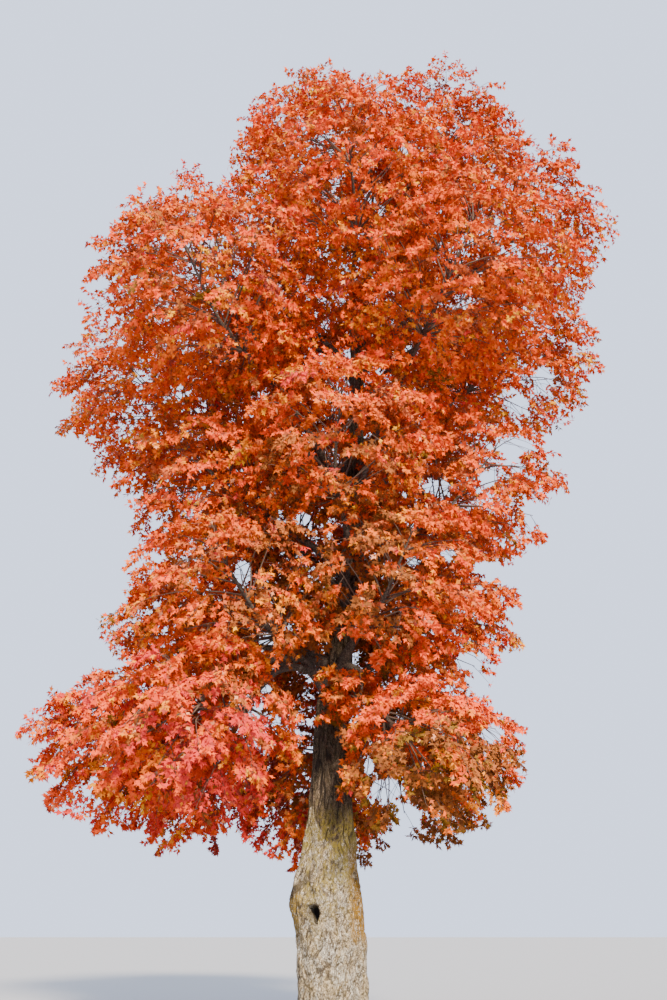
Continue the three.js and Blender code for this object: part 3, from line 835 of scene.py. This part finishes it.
def make_trunk(material):
    """The trunk with its bark's relief and the knot hole."""
    top = TRUNK[-1, 0]
    heights = [0.0]
    while heights[-1] < top:
        above = max(heights[-1] - CLOSE_ROWS_TO, 0)
        heights.append(heights[-1] + (ROW_STEP + ROW_GROWTH * above))
    heights[-1] = top
    h, a = np.meshgrid(np.array(heights), np.arange(TRUNK_SIDES) * TAU / TRUNK_SIDES, indexing="ij")
    centre, girth = trunk_at(h)
    relief, plate = bark_plates(h, a, girth)
    lumps = (0.014 * np.sin(a * 7 + h * 3.1) + 0.010 * np.sin(a * 4 - h * 5.3)
             + 0.008 * np.sin(h * 11 + a * 9))
    radius = trunk_radius(h, a) - BARK_DROP + relief + lumps * girth
    ring = knot_ring(h, a, radius)
    # How deep the knot hole sinks, and how much of its inside is painted as shade.
    hollow = 1 - smooth(ring, *KNOT_RIM)
    lip = KNOT_LIP.out * np.exp(-((ring - KNOT_LIP.at) / KNOT_LIP.wide) ** 2)
    radius = radius - KNOT.deep * hollow + lip
    verts = centre + radius[..., None] * np.stack([np.cos(a), np.sin(a), np.zeros_like(a)], -1)
    faces = wall_faces(len(heights), TRUNK_SIDES)
    piece = mesh_from("trunk_bark", verts.reshape(-1, 3), faces, [material])
    for name, values in (("plate", plate), ("hollow", hollow)):
        attribute = piece.data.attributes.new(name, "FLOAT", "POINT")
        attribute.data.foreach_set("value", values.astype(np.float32).ravel())
    return piece


def make_boughs(boughs, stems):
    """The boughs and the masses' stems, as arrays of points and faces."""
    parts = []
    for bough in boughs:
        share = np.linspace(0, 1, BOUGH_POINTS)
        length = np.linalg.norm(np.diff(bough.line, axis=0), axis=1).sum()
        flare = 1 + COLLAR * np.exp(-share * length / bough.girth)
        radius = flare * (bough.girth + (bough.tip - bough.girth) * share ** SLIMMING) / 2
        radius = radius * (1 + LIMB_UNEVEN * swing(bough.mass.index, np.arange(BOUGH_POINTS), 5))
        parts.append(tubes(along_curve(bough.line, share)[None], radius[None], BOUGH_SIDES))
    for stem in stems:
        share = np.linspace(0, 1, STEM_POINTS)
        radius = (stem.thick * (1 - share) + STEM_END * share) / 2
        parts.append(tubes(along_curve(stem.line, share)[None], radius[None], STEM_SIDES))
    return join_arrays(parts)


def lay_leaves(sprays):
    """Shoots and leaves of all sprays, as arrays. Each spray, shoot and leaf has a key of its own."""
    key, mass, root, along, facing, length = (np.array(column) for column in zip(*sprays))
    across = np.cross(facing, along)
    # Shoots: one row for each spray, one column for each place on its axis.
    turn, at = np.array(SHOOTS).T
    shoot = key[:, None] * len(SHOOTS) + np.arange(len(SHOOTS))
    angle = np.radians(SHOOT_TURN) * turn * (1 + SHOOT_UNEVEN * swing(shoot, 5, 1))
    start = root[:, None] + along[:, None] * (length[:, None] * at * AXIS_SHARE)[..., None]
    start = start - UP * (SPRAY_SAG * length[:, None] * at ** 2)[..., None]
    rise = SHOOT_RISE[0] + SHOOT_RISE[1] * swing(shoot, 5, 2)
    tilt = SHOOT_TILT[0] + SHOOT_TILT[1] * swing(shoot, 5, 3)
    heading = along[:, None] * np.cos(angle)[..., None] + across[:, None] * np.sin(angle)[..., None]
    heading = heading + facing[:, None] * rise[..., None]
    heading = unit(heading + UP * tilt[..., None])
    size = length[:, None] * SHOOT_LENGTH * (SHOOT_FIRST - SHOOT_SHORTER * at)
    size = size * (1 + SHOOT_UNEVEN * swing(shoot, 5, 4))
    # Leaves: opposite pairs, each at right angles to the last.
    side, on = np.array(LEAVES).T
    leaf = shoot[..., None] * len(LEAVES) + np.arange(len(LEAVES))
    quarter = (np.arange(len(LEAVES)) // 2 % 2) * math.pi / 2
    spin = quarter + LEAF_SPIN * swing(leaf, 6, 1)
    sideways = unit(np.cross(heading, facing[:, None] + 0.001))
    upward = np.cross(sideways, heading)
    base = start[:, :, None] + heading[:, :, None] * (size[..., None] * on)[..., None]
    base = base - UP * (SHOOT_SAG * size[..., None] * on)[..., None]
    out = (sideways[:, :, None] * (side * np.cos(spin))[..., None]
           + upward[:, :, None] * (side * np.sin(spin))[..., None])
    drop = LEAF_DROP[0] + LEAF_DROP[1] * swing(leaf, 6, 2)
    scatter = swings(leaf, 7)
    point = unit(out * LEAF_OUT + heading[:, :, None] * LEAF_AHEAD - UP * drop[..., None]
                 + LEAF_SCATTER * scatter[..., ::-1])
    outward = unit(base - CENTRES[mass][:, None, None])
    top = unit(TOP_UP * UP + TOP_OUT * outward + TOP_SCATTER * scatter)
    top = unit(top - point * (top * point).sum(-1, keepdims=True))
    long = LEAF_LENGTH * (1 + LEAF_UNEVEN * swing(leaf, 6, 3)) * np.where(side == 0, LAST_LEAF, 1.0)
    return Row(start=start, heading=heading, size=size, root=root, along=along, length=length, base=base,
                point=point, top=top, long=long, key=key, shoot=shoot, leaf=leaf,
                mass=np.broadcast_to(mass[:, None, None], long.shape))


def tint_of(place, shoot, key, leaf):
    """The tint of each leaf, by where its spray hangs, with a few odd sprays, shoots and leaves."""
    x, y, z = place[..., 0], place[..., 1], place[..., 2]
    # The parts of the crown that differ in colour, each as a share from 0 to 1.
    left = smooth(-x, 0.4, 2.0) * (1 - smooth(z, 5.4, 6.8))
    heart = left * smooth(x, -3.2, -1.8) * (1 - smooth(z, 4.6, 5.4))
    left_rest = left - heart
    # Under the right lobe the leaves take dark golden browns and olive, partly their own colour and partly
    # painted shade; on its top they take coral, partly painted light.
    under = smooth(x, -0.2, 0.8) * (1 - smooth(z + 0.25 * y, 3.7, 4.5))
    right = smooth(x, -0.6, 0.6) * smooth(-y, 0.2, 1.0) * (1 - smooth(z, 5.6, 6.8)) * (1 - under)
    # Near the trunk low down and deep in the crown, leaves take darker browner tints: partly their own
    # colour and partly painted shade.
    inside = 1 - smooth(np.hypot(x, y), 1.2, 2.6)
    # Painted shade: round the trunk at the waist, leaves take darker golden browns.
    shaded_core = (1 - smooth(np.abs(x + 0.2), 0.8, 2.0)) * smooth(z, 4.8, 5.6) * (1 - smooth(z, 8.5, 10.0))
    front = (1 - smooth(np.abs(x), 1.0, 2.8)) * smooth(z, 9.5, 11.5) * (1 - smooth(z, 15.0, 17.0))
    low = 1 - smooth(z, 7.0, 9.5)
    far = smooth(y, 0.5, 2.0)
    deep = smooth(depth(place.reshape(-1, 3)).reshape(x.shape), 0.25, 1.1)
    open_air = 1 - 0.8 * left
    off_right = 1 - 0.7 * right
    # How much of each tint there is.
    weights = dict(
        vermilion=0.9 * (1 - 0.5 * left) * (1 - 0.8 * under),
        orange_red=0.9 * open_air * (1 - 0.7 * under),
        scarlet=0.30 + 0.8 * left + 1.6 * heart,
        coral=(0.45 + 0.7 * front + 6.0 * right + 3.0 * left - 2.0 * heart) * (1 - 0.8 * under),
        orange=0.45 * open_air + 0.25 * low + 0.5 * left_rest,
        amber=0.22 + 0.35 * front + 0.25 * right + 0.12 * low + 0.4 * under + 0.5 * left_rest,
        gold=0.07 + 0.12 * right + 0.1 * under,
        crimson=0.06 + 1.5 * left + 4.0 * heart + 0.5 * far * low,
        deep_red=0.04 + 0.25 * left + 0.7 * heart + 0.8 * far * low,
        brick=(0.15 + 2.2 * deep) * open_air * off_right,
        rust=(0.15 + (0.2 + 0.6 * low) * deep + 1.8 * inside * low + 2.2 * shaded_core) * off_right + 2.4 * under,
        russet=(0.03 + (0.1 + 0.4 * low) * deep + 0.8 * inside * low + 1.6 * shaded_core) * off_right + 6.5 * under,
        olive=0.02 + 1.6 * under + 0.35 * inside * low,
    )
    table = np.stack([weights[name] for name in TINT_NAMES[:-1]], -1)
    table = table / table.sum(-1, keepdims=True)
    edges = table.cumsum(-1)
    by_spray = chance(key, 9, 1)[:, None, None]
    by_shoot = chance(shoot, 9, 2)[..., None]
    by_leaf = chance(leaf, 9, 3)
    pick = np.where(by_shoot < BY_SHOOT, chance(shoot, 9, 5)[..., None], by_spray)
    pick = np.where(by_leaf < BY_LEAF, chance(leaf, 9, 4), pick)
    tint = np.minimum((pick[..., None] > edges).sum(-1), len(TINT_NAMES) - 2)
    return np.where(chance(leaf, 9, 6) < UNDERSIDES_AND_GLINTS, len(TINT_NAMES) - 1, tint)


def leaf_arrays(base, point, top, long, leaf):
    """Leaves as arrays of points and faces."""
    across = np.cross(point, top)
    curl = LEAF_CURL[0] + LEAF_CURL[1] * chance(leaf, 8, 1)
    shape = LEAF * np.stack([np.ones_like(curl), np.ones_like(curl), curl], -1)[:, None]
    stalk = LEAF_STALK * chance(leaf, 8, 2)
    shape[:, 1:, 1] += stalk[:, None]
    blade = (shape[..., :1] * across[:, None] + shape[..., 1:2] * point[:, None]
             + shape[..., 2:] * top[:, None])
    verts = base[:, None] + long[:, None, None] * blade
    faces = LEAF_FACES + (np.arange(len(base)) * len(LEAF))[:, None, None]
    return verts.reshape(-1, 3), faces.reshape(-1, 3)


def in_gap(points, uneven, gaps):
    """Whether points lie, seen from the camera, in one of the gaps."""
    tilt = math.radians(CAMERA_TILT)
    away = points - CAMERA_PLACE
    ahead = away[..., 1] * math.cos(tilt) + away[..., 2] * math.sin(tilt)
    above = away[..., 2] * math.cos(tilt) - away[..., 1] * math.sin(tilt)
    scale = PHOTO_TALL * CAMERA_LENS / SENSOR / ahead
    column = PHOTO_WIDE / 2 + away[..., 0] * scale
    row = PHOTO_TALL / 2 - above * scale
    inside = np.zeros(column.shape, bool)
    for gap_column, gap_row, wide, tall in gaps:
        ring = np.hypot((column - gap_column) / wide, (row - gap_row) / tall)
        inside |= ring < 1 + GAP_EDGE * uneven
    return inside


def lie_inside(grown, place):
    """Which leaves keep to their mass's space, or to the crown if they grow on a bough's side branches."""
    spots = place.reshape(-1, 3)
    owner = grown.mass.reshape(-1)
    span = np.sqrt(spreads(spots)[np.arange(len(spots)), owner])
    in_space = (span < REACH_SPARE * REACHES[owner]) & (room(owner, spots) > -MINGLE)
    on_side = grown.key // len(PLACES) % KEYS >= SIDE_KEY
    on_side = np.broadcast_to(on_side[:, None, None], place.shape[:-1]).reshape(-1)
    low_corner, high_corner = (np.array(corner) for corner in cad_box)
    spare = LIMIT * (high_corner - low_corner)
    in_box = np.all((spots > low_corner - spare) & (spots < high_corner + spare), axis=-1)
    kept = in_box & np.where(on_side, depth(spots) > -ASTRAY, in_space)
    return kept.reshape(place.shape[:-1])


def clear_gaps(grown, place):
    """Which leaves leave the gaps and windows open. A shoot that hangs before one loses all its leaves."""
    shoots = grown.start + grown.heading * (0.5 * grown.size)[..., None]
    uneven = swing(grown.shoot, 8, 3)
    covers = in_gap(shoots, uneven, GAPS)
    covers |= in_gap(shoots, uneven, WINDOWS) & (shoots[..., 1] < WINDOW_BACK)
    return ~(covers[..., None] | in_gap(place, -1, GAPS))


def shoot_spikes(grown, fits):
    """The shoots that carry leaves, each as long as its last leaf needs."""
    grew = fits.any(-1)
    reached = (fits * np.array(LEAVES)[:, 1]).max(-1)
    size = (grown.size * reached)[grew][:, None]
    on = np.array([0, 1.0])
    lines = (grown.start[grew][:, None] + grown.heading[grew][:, None] * (size * on)[..., None]
             - UP * (SHOOT_SAG * size * on)[..., None])
    return spikes(lines, SHOOT_RADIUS)


def axis_tubes(grown, fits):
    """The sprays' axes, each as long as its last shoot needs."""
    grew = fits.any(-1)
    alive = grew.any(-1)
    reached = (grew * np.array(SHOOTS)[:, 1]).max(-1)[alive]
    on = np.array([0, 0.5, 1.0]) * reached[:, None]
    root, along = grown.root[alive][:, None], grown.along[alive][:, None]
    length = grown.length[alive][:, None]
    lines = (root + along * (length * on * AXIS_SHARE)[..., None]
             - UP * (SPRAY_SAG * length * on ** 2)[..., None])
    return tubes(lines, np.broadcast_to(AXIS_RADII, lines.shape[:2]), 3)


boughs = grow_boughs()
bough_of = {b.mass.index: b for b in boughs}
stems, sprays, branch_lines, branch_thick = [], [], [], []
for mass in MASSES:
    bough = bough_of.get(mass.index)
    stem = grow_stem(mass, bough)
    stems.append(stem)
    for branches in (grow_branches(mass, stem), side_branches(mass, bough) if bough else []):
        for branch in branches:
            branch_lines.append(along_curve(branch.line, np.linspace(0, 1, BRANCH_POINTS)))
            branch_thick.append(branch.thick)
        sprays += grow_sprays(mass, branches)

# Sprays outside their mass's space are left out, and a share of those deep in the crown.
keys, owners = np.array([spray[:2] for spray in sprays]).T
middles = np.array([root + along * length * 0.5 for key, owner, root, along, facing, length in sprays])
deep_share = np.where(middles[:, 2] < LOW_CROWN, LOW_DEEP_SHARE, DEEP_SHARE)
thinned = (depth(middles) > DEEP) & (chance(keys, 4, 1) >= deep_share)
on_side = keys // len(PLACES) % KEYS >= SIDE_KEY
keep = on_side | ((room(owners, middles) > 0) & ~thinned)
grown = lay_leaves([spray for spray, kept in zip(sprays, keep) if kept])
place = grown.base + grown.point * (grown.long * LEAF_MIDDLE)[..., None]
fits = lie_inside(grown, place) & clear_gaps(grown, place)
tints = tint_of(place, grown.shoot, grown.key, grown.leaf)

leaf_materials = [plain(f"leaf_{name}", TINTS[name], roughness=0.65, specular=0.05) for name in TINT_NAMES]
for level, tier in enumerate(TIERS):
    members = [m for m in MASSES if m.level == level]
    pick = fits & np.isin(grown.mass, [m.index for m in members])
    columns = (grown.base, grown.point, grown.top, grown.long, grown.leaf)
    verts, faces = leaf_arrays(*(column[pick] for column in columns))
    indices = np.repeat(tints[pick], len(LEAF_FACES))
    piece = mesh_from(f"leaves_{tier.name}", verts, faces, leaf_materials, indices, False)
    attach(piece, "root")
    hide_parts(*(f"foliage_{m.name}" for m in members))

taper = np.linspace(1, 0, BRANCH_POINTS)
branch_radii = BRANCH_TIP + (BRANCH_BASE - BRANCH_TIP) * taper * np.array(branch_thick)[:, None]
branch_parts = tubes(np.array(branch_lines), branch_radii, BRANCH_SIDES)
twig_material = plain("twig_bark", TWIG_COLOUR, roughness=0.8, specular=0.3)
for name, arrays in (("shoots", shoot_spikes(grown, fits)),
                     ("twigs", join_arrays([axis_tubes(grown, fits), branch_parts]))):
    piece = mesh_from(name, *arrays, [twig_material])
    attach(piece, "root")

piece = make_trunk(trunk_bark())
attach(piece, "root")
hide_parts("trunk")

piece = mesh_from("boughs_bark", *make_boughs(boughs, stems), [limb_bark()])
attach(piece, "root")
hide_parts(*(f"bough_{b.mass.name}" for b in boughs))

bpy.ops.mesh.primitive_plane_add(size=FLOOR_SIZE, location=(0, 0, -FLOOR_DROP))
floor = bpy.context.object
floor.name = "floor"
floor.data.materials.append(plain("floor", FLOOR_COLOUR, roughness=0.95, specular=0.2))

world = bpy.data.worlds.new("studio")
bpy.context.scene.world = world
world.use_nodes = True
background = world.node_tree.nodes["Background"]
background.inputs["Color"].default_value = (*SOFT_COLOUR, 1)
background.inputs["Strength"].default_value = SOFT_STRENGTH

sun = bpy.data.lights.new("sun", "SUN")
sun.energy = SUN_STRENGTH
sun.angle = math.radians(SUN_WIDTH)
sun.color = SUN_COLOUR
lamp = bpy.data.objects.new("sun", sun)
lamp.rotation_euler = (math.radians(SUN_TILT), 0, math.radians(SUN_TURN))
bpy.context.scene.collection.objects.link(lamp)

lens = bpy.data.cameras.new("camera")
lens.lens = CAMERA_LENS
lens.sensor_width = SENSOR
lens.clip_end = CAMERA_END
camera = bpy.data.objects.new("camera", lens)
camera.location = CAMERA_PLACE
camera.rotation_euler = (math.radians(90 + CAMERA_TILT), 0, 0)
bpy.context.scene.collection.objects.link(camera)
bpy.context.scene.camera = camera

bpy.context.view_layer.update()
